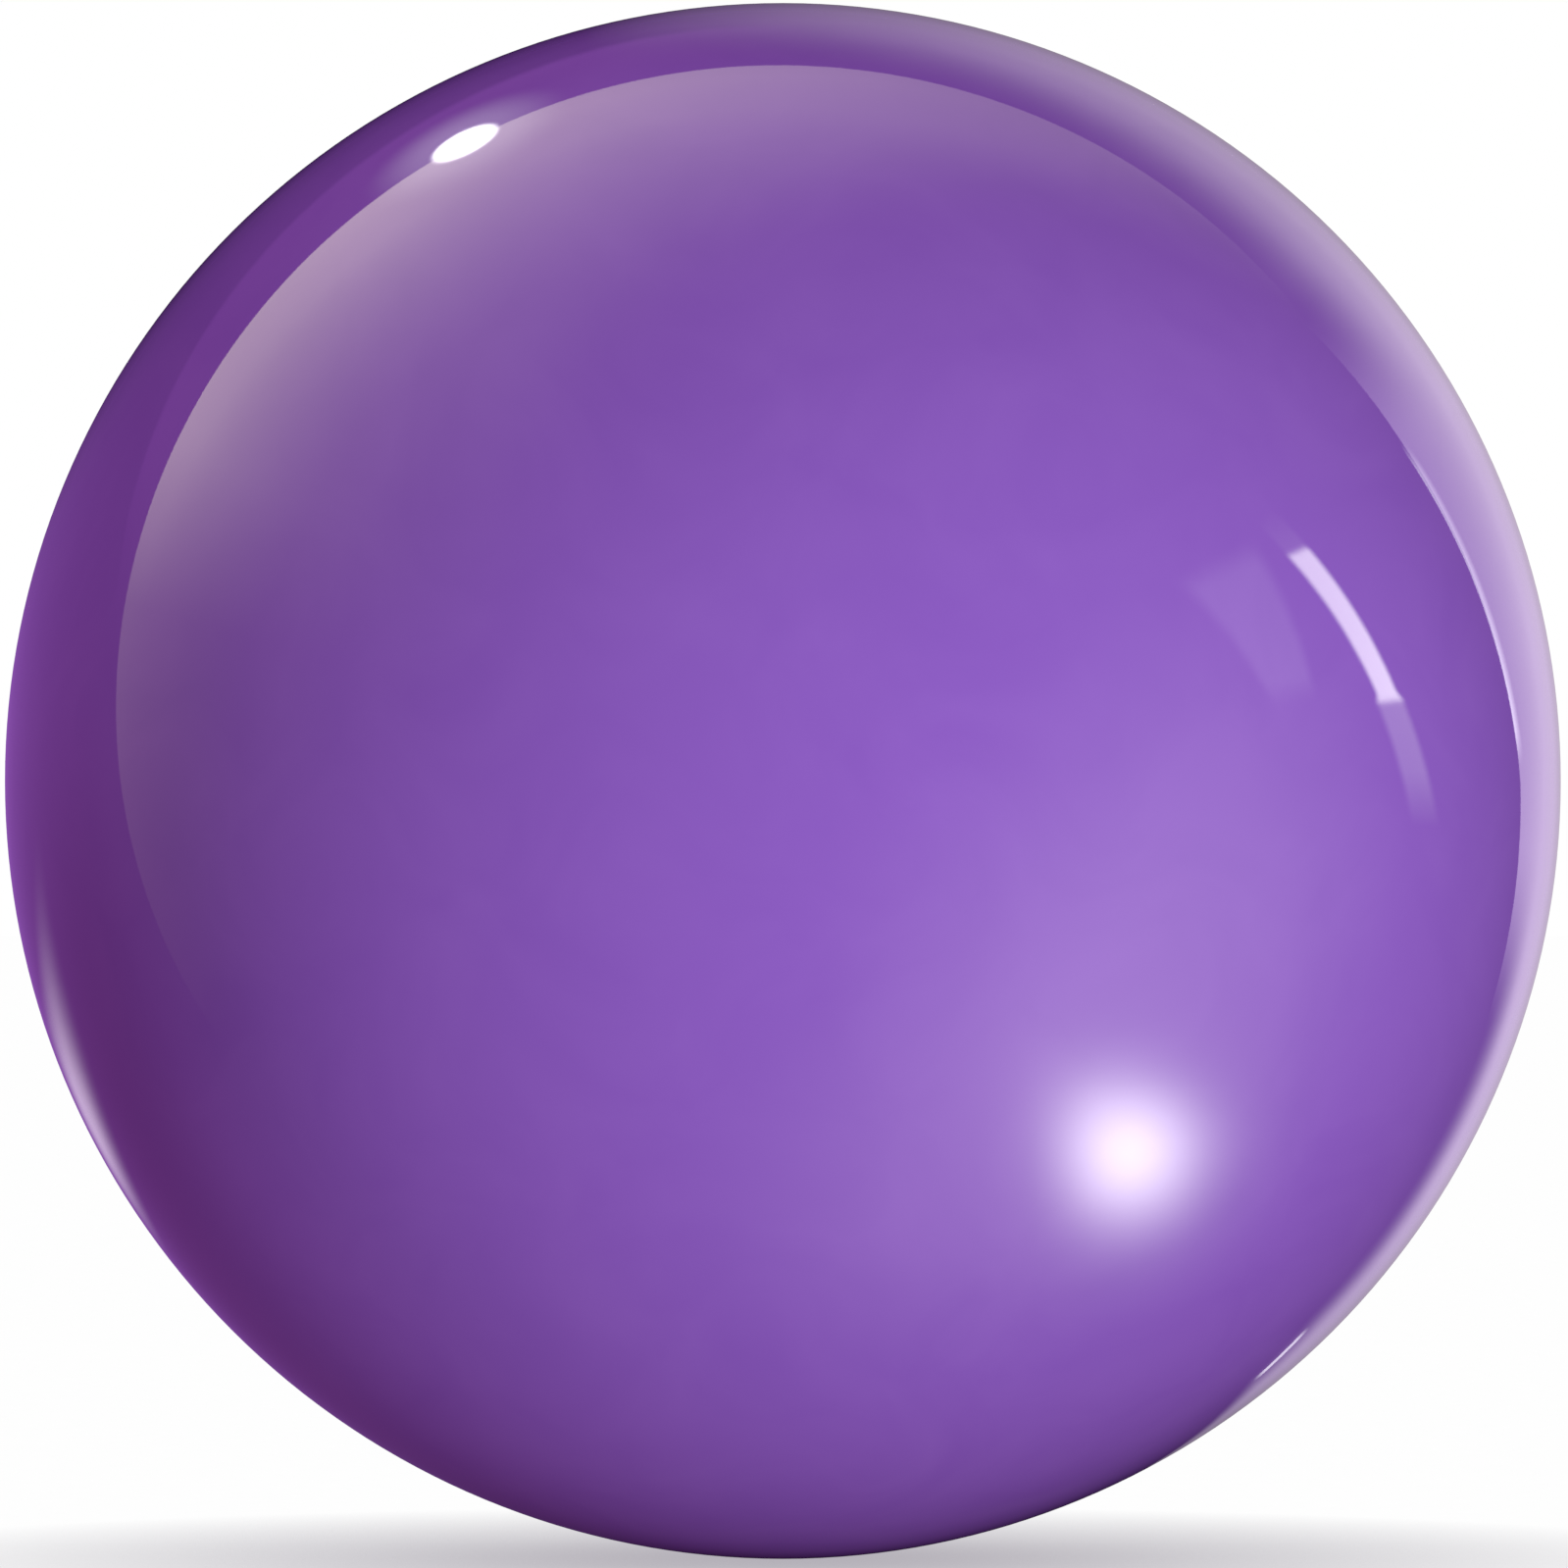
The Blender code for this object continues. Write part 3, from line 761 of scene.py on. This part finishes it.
filledLooks = {
    "core": {
        "name": "bead-filled polyester, machined",
        "binder": "#b9a273",
        "filler": "#e0d3b0",
        "grain": 1.6 * mm,
        "roughness": 0.62,
        "relief": 0.05 * mm,
    },
    "bulb": {
        "name": "barite-filled resin, cast",
        "binder": "#7c2f24",
        "filler": "#b06a58",
        "grain": 0.9 * mm,
        "roughness": 0.55,
        "relief": 0.03 * mm,
    },
    "foot": {
        "name": "iron-oxide-filled resin, cast",
        "binder": "#2b2a2e",
        "filler": "#5a5860",
        "grain": 0.8 * mm,
        "roughness": 0.5,
        "relief": 0.03 * mm,
    },
}
plasticLooks = {
    "pin": {
        "name": "cast polyester, polished flush",
        "dark": "#c9b3e6",
        "pale": "#dccdf2",
        "roughness": 0.14,
        "grain": 1 * mm,
        "relief": 0.001 * mm,
    },
    "mark": {
        "name": "pigmented resin, polished flush",
        "dark": "#e9e6ee",
        "pale": "#f6f4fa",
        "roughness": 0.16,
        "grain": 1 * mm,
        "relief": 0.001 * mm,
    },
    "insert": {
        "name": "soft moulded urethane, satin",
        "dark": "#2a1f3b",
        "pale": "#33264a",
        "roughness": 0.46,
        "grain": 0.5 * mm,
        "relief": 0.02 * mm,
    },
    "socket": {
        "name": "injection-moulded nylon",
        "dark": "#17161b",
        "pale": "#212027",
        "roughness": 0.38,
        "grain": 0.4 * mm,
        "relief": 0.01 * mm,
    },
    "cushion": {
        "name": "closed-cell rubber",
        "dark": "#3a3a3e",
        "pale": "#4a4a50",
        "roughness": 0.8,
        "grain": 0.35 * mm,
        "relief": 0.06 * mm,
    },
}
turnedLooks = {
    "slug": {
        "name": "turned urethane, hand-buffed",
        "dark": "#35244f",
        "pale": "#3f2b5e",
        "metallic": 0.0,
        "roughness": 0.26,
        "pitch": 0.35 * mm,
        "relief": 0.004 * mm,
    },
    "cam": {
        "name": "turned stainless steel",
        "dark": "#b4b5b8",
        "pale": "#cfd0d3",
        "metallic": 1.0,
        "roughness": 0.27,
        "pitch": 0.12 * mm,
        "relief": 0.003 * mm,
    },
}

print("materials")
coverMaterial = makeCoverMaterial()
filled = {use: makeFilledMaterial(**look) for use, look in filledLooks.items()}
plastic = {use: makePlasticMaterial(**look) for use, look in plasticLooks.items()}
turned = {use: makeTurnedMaterial(**look) for use, look in turnedLooks.items()}

print("shells")
makeShells(coverMaterial, filled["core"])
print("weight block, pin and mark")
makeWeightBlock(pinBasis, filled["bulb"], filled["foot"])
makeLocatingPin(pinBasis, plastic["pin"])
makeCentreMark(markBasis, plastic["mark"])
print("finger inserts")
makeFingerInsert("middleGrip", "middle_finger_insert", middleBasis, plastic["insert"])
makeFingerInsert("ringGrip", "ring_finger_insert", ringBasis, plastic["insert"])
print("thumb")
makeThumbSocket(thumbBasis, plastic["socket"])
makeCushion(thumbBasis, plastic["cushion"])
makeThumbSlug(thumbBasis, turned["slug"])
makeLockCam(thumbBasis, turned["cam"])


# The room as the ball mirrors it. A place in it is given in degrees, by its angle round the line of sight,
# counted anticlockwise from the right, and by its angle away from straight behind the ball.
roomRadius = 3.0
rimSwing = 5.2  # the ball's size and the camera's nearness swing the mirrored room round, most at the rim
roomPanels = {  # colour and strength
    "ceilingHaze": ("#fff0de", 2.55),
    "violetStrip": ("#a85fc8", 0.42),
    "violetWall": ("#cd7cff", 0.46),
    "lamp": ("#ffffff", 30.0),
    "rightWall": ("#f5e6f8", 1.5),
    "wallEdge": ("#ffffff", 2.6),
    "lowLine": ("#ffffff", 1.6),
    "tubeLamp": ("#fffff0", 10.0),
    "window": ("#fdf6ff", 0.9),
    "leftStreak": ("#fff4fd", 0.8),
    "softLamp": ("#fffff4", 16.0),
    "wideGlow": ("#fff8da", 1.8),
}


def placeInRoom(around, behind):  # the unit vector (sin b cos a, cos b, sin b sin a)
    around = np.radians(around)
    behind = np.radians(behind)
    behind = behind + math.radians(rimSwing) * np.cos(behind / 2)
    return np.stack([np.sin(behind) * np.cos(around), np.cos(behind), np.sin(behind) * np.sin(around)], -1)


def glowMaterial(name, colour, strength):
    # A lit panel that fades out by its own glow attribute and lets everything behind it through
    material, tree = newMaterial(name)
    fade = addNode(tree, "Attribute", {"attribute_name": "glow"}, {}).outputs["Fac"]
    power = addNode(tree, "Math", {"operation": "MULTIPLY"}, {0: fade, 1: strength}).outputs[0]
    light = addNode(tree, "Emission", {}, {"Color": colour, "Strength": power}).outputs[0]
    clear = addNode(tree, "BsdfTransparent", {}, {}).outputs[0]
    material.cycles.emission_sampling = "NONE"
    return finishMaterial(material, addNode(tree, "AddShader", {}, {0: clear, 1: light}).outputs[0])


def addPanel(name, around, behind, glow):  # a patch of the room, seen only by gloss: three arrays over (u, v)
    around, behind, glow = np.broadcast_arrays(around, behind, glow)
    rows, columns = glow.shape
    corner = (np.arange(rows - 1)[:, None] * columns + np.arange(columns - 1)[None, :]).reshape(-1)
    quads = np.stack([corner, corner + 1, corner + columns + 1, corner + columns], -1)
    panel = addMesh(name, placeInRoom(around, behind).reshape(-1, 3) * roomRadius, quads)
    fade = panel.data.attributes.new("glow", "FLOAT", "POINT")
    fade.data.foreach_set("value", glow.astype(np.float32).reshape(-1))
    panel.data.materials.append(glowMaterial(name, *roomPanels[name]))
    panel.visible_camera = False
    panel.visible_diffuse = False
    panel.visible_transmission = False
    panel.visible_volume_scatter = False
    panel.visible_shadow = False


def smooth(share):  # 0 to 1 with a soft start and end
    share = np.clip(share, 0, 1)
    return share * share * (3 - 2 * share)


def softEnds(share, start, end):  # rises at 0 and falls at 1, over one part in start and one part in end
    return smooth(share * start) * smooth((1 - share) * end)


def between(angle, knots):  # straight lines between the values given at a few angles
    return np.interp(angle, list(knots), list(knots.values()))


def ceilingEdge(around):  # the ceiling's near edge, a parabola
    return 46 + ((around - 95) / 20.5) ** 2


def makeCeiling(u, v):
    around = 30 + 175 * u  # pale wall and ceiling over the camera
    behind = ceilingEdge(around) + (130 - ceilingEdge(around)) * v
    rightSide = {30: 2, 60: 6, 75: 9, 90: 13.5, 125: 25}
    side = between(around, {**rightSide, 150: 22, 160: 12, 165: 7, 180: 4.5, 205: 0})
    fall = between(behind, {46: 0.87, 50: 1.02, 60: 1.1, 74: 0.8, 91: 0.38, 106: 0.19, 130: 0})
    start = 28 + 1.1 * (behind - 46)
    addPanel("ceilingHaze", around, behind, side / 26 * fall * smooth((around - start) / 34))

    around = 85 + 85 * u  # violet strip between it and the dark behind the ball
    inner = 26 + ((around - 98) / 12.5) ** 2
    behind = inner + (ceilingEdge(around) - inner) * v
    addPanel("violetStrip", around, behind, softEnds(u, 4, 4) * smooth(v * 6))


def makeWalls(u, v):
    around = 138 + 134 * u  # violet wall on the left
    addPanel("violetWall", around, 84 * v, softEnds(u, 3.2, 2) * smooth((1 - v) * 3.5))

    around = -62 + 167 * u  # bright wall behind and to the right, cut off sharply from -4 to 28 degrees
    lowEdge = {-62: 6, -57: 15, -52: 26, -45: 31, -25: 33, -12: 35, 0: 37}
    highEdge = {28: 49.5, 45: 55, 60: 53, 80: 48, 105: 40}
    behind = between(around, {**lowEdge, **highEdge}) * v
    lowLight = {-62: 0.3, -50: 0.6, -30: 0.9, -10: 1, 10: 1.04}
    highLight = {30: 0.96, 50: 0.68, 70: 0.48, 85: 0.3, 105: 0}
    rise = between(behind, {0: 0.35, 10: 0.55, 16: 0.78, 24: 1, 40: 1})
    loose = smooth((around - 28) / 14) + smooth((-4 - around) / 16)
    glow = between(around, {**lowLight, **highLight}) * rise * (1 - loose * (1 - smooth((1 - v) * 2.4)))
    addPanel("rightWall", around, behind, glow)

    around = 1 + 28 * u  # bright line along that wall's edge
    behind = between(around, {0: 37, 28: 50.5}) - 2.6 * v
    addPanel("wallEdge", around, behind, softEnds(u, 8, 8) * (1 - v))

    around = 308 + 6 * u  # short bright line low on the right
    addPanel("lowLine", around, 22 + 3 * u + 1.6 * v, softEnds(u, 4, 4))

    around = 208 - 18 * v**2 + 22 * (u - 0.5)  # pale streak low on the left, behind the ball
    addPanel("leftStreak", around, 4 + 31 * v, softEnds(u, 2.2, 2.2) * softEnds(v, 2.5, 1.8))

    around = 8 + 20 * u  # faint window
    behind = 91 + 2 * u + (10 + 10 * u) * v
    addPanel("window", around, behind, softEnds(u, 5, 5) * softEnds(v, 5, 5))


def roundPatch(u, v, centre, half, size):  # a patch round a lamp, and each place's distance from the lamp
    around = centre[0] + half[0] * (2 * u - 1)
    behind = centre[1] + half[1] * (2 * v - 1)
    return around, behind, np.hypot((around - centre[0]) / size[0], (behind - centre[1]) / size[1])


def makeLamps(u, v):
    around, behind, away = roundPatch(u, v, (116.5, 47), (12, 16), (2.7, 3.9))  # small lamp
    addPanel("lamp", around, behind, smooth((1.2 - away) / 0.6) + 0.03 * smooth((3.6 - away) / 2.6))

    along = 40 * u - 14  # slanted tube lamp with a pale strip running on from its upper end
    around = 7.5 + 16.5 * (along / 20)
    wide = between(along, {-14: 9, 0: 8, 1: 6})
    behind = between(along, {-14: 68, 0: 76, 20: 87, 26: 90}) + wide * (v - 0.5)
    tube = between(along, {-14: 0, -8: 0.14, -0.5: 0.18, 0.5: 0.9, 19.5: 0.9, 20.5: 0.06, 26: 0})
    addPanel("tubeLamp", around, behind, tube * softEnds(v, 4, 4))

    around, behind, away = roundPatch(u, v, (313, 99), (34, 58), (7.1, 12.4))  # soft round lamp by the camera
    addPanel("softLamp", around, behind, np.exp(-away * away) + 0.05 * smooth((3.4 - away) / 3))

    around, behind, away = roundPatch(u, v, (324, 118), (76, 54), (76, 54))  # faint wide glow round it
    addPanel("wideGlow", around, behind, smooth(1 - away))


print("room")
panelGrid = np.meshgrid(np.linspace(0, 1, 101), np.linspace(0, 1, 61), indexing="ij")
makeCeiling(*panelGrid)
makeWalls(*panelGrid)
makeLamps(*panelGrid)


# Azimuth counts from the camera's side towards the right, elevation up from level, and softness is the
# light's width, all in degrees. The gloss mirrors the room instead of these.
sunLights = {
    "keyLight": {"azimuth": 26, "elevation": -7, "strength": 1.05, "softness": 25, "colour": (1, 0.98, 0.98)},
    "backLight": {"azimuth": -135, "elevation": 42, "strength": 0.76, "softness": 25, "colour": (1, 0.78, 0.9)},
    "rearFill": {"azimuth": 180, "elevation": 12, "strength": 0.6, "softness": 30, "colour": (1, 1, 1)},
}


def addSun(name, azimuth, elevation, strength, colour, softness):
    sun = bpy.data.lights.new(name, "SUN")
    sun.energy = strength * math.pi
    sun.color = colour
    sun.angle = math.radians(softness)
    lamp = bpy.data.objects.new(name, sun)
    lamp.rotation_euler = (math.radians(90 - elevation), 0, math.radians(azimuth))
    lamp.visible_glossy = False
    bpy.context.scene.collection.objects.link(lamp)


print("lights")
for name, settings in sunLights.items():
    addSun(name, **settings)

sweep = {
    "backdrop": (1, 1, 1, 1),
    "ambient": (0.18, 0.0, 0.09, 1),  # linear: the mauve light of the room that fills the shaded side
    "paper": ("#fdfdfd", "#ffffff"),
    "fibre": 4 * mm,
    "shade": "#b4b0b8",  # painted shadow, close under the ball
    "shadeReach": 70 * mm,
    "halfSize": 8.0,
    "clearance": 0.05 * mm,
}


def makeWorld():
    world = bpy.data.worlds.new("studio")
    world.use_nodes = True
    tree = world.node_tree
    tree.nodes.clear()
    path = addNode(tree, "LightPath", {}, {})
    dim = addNode(tree, "Background", {}, {"Color": sweep["ambient"]}).outputs[0]
    white = addNode(tree, "Background", {}, {"Color": sweep["backdrop"]}).outputs[0]
    seen = addNode(tree, "MixShader", {}, {0: path.outputs["Is Camera Ray"], 1: dim, 2: white}).outputs[0]
    addNode(tree, "OutputWorld", {}, {"Surface": seen})
    world.cycles_visibility.glossy = False
    bpy.context.scene.world = world


def makeFloor():
    # A pale sheet of paper, lit evenly, with a faint fibre, and a painted shadow close under the ball, drawn by
    # ambient occlusion
    material, tree = newMaterial("white paper sweep")
    near = addNode(tree, "AmbientOcclusion", {"samples": 8}, {"Distance": sweep["shadeReach"]}).outputs["AO"]
    place = addNode(tree, "TexCoord", {}, {}).outputs["Object"]
    fibre = {"Vector": place, "Scale": perMetre(sweep["fibre"]), "Detail": 4}
    fibres = addNode(tree, "TexNoise", {}, fibre).outputs["Fac"]
    paper = blendColours(tree, fibres, *sweep["paper"])
    # painted shadow: the glowing paper turns towards the shade grey where ambient occlusion finds the ball near
    shade = blendColours(tree, near, sweep["shade"], paper)
    light = addNode(tree, "Emission", {}, {"Color": shade, "Strength": 1.0}).outputs[0]
    material.cycles.emission_sampling = "NONE"
    finishMaterial(material, light)
    ends = [-sweep["halfSize"], sweep["halfSize"]]
    u, v = np.meshgrid(ends, ends)
    points = np.stack([u, v, np.full_like(u, -ballRadius - sweep["clearance"])], -1).reshape(-1, 3)
    floor = addMesh("floorSheet", points, np.array([[0, 1, 3, 2]]))
    floor.data.materials.append(material)
    floor.visible_diffuse = False
    floor.visible_glossy = False
    floor.visible_shadow = False


print("world, floor and camera")
makeWorld()
makeFloor()

framing = {"lens": 328.5, "sensor": 36, "distance": 2, "shift": (0.00075, -0.00194)}
camera = bpy.data.cameras.new("photoCamera")
camera.lens = framing["lens"]
camera.sensor_width = framing["sensor"]
camera.shift_x, camera.shift_y = framing["shift"]
cameraObject = bpy.data.objects.new("photoCamera", camera)
cameraObject.location = (0, -framing["distance"], 0)
cameraObject.rotation_euler = (math.pi / 2, 0, 0)
bpy.context.scene.collection.objects.link(cameraObject)
bpy.context.scene.camera = cameraObject
bpy.context.scene.view_settings.view_transform = "Standard"

print("done")
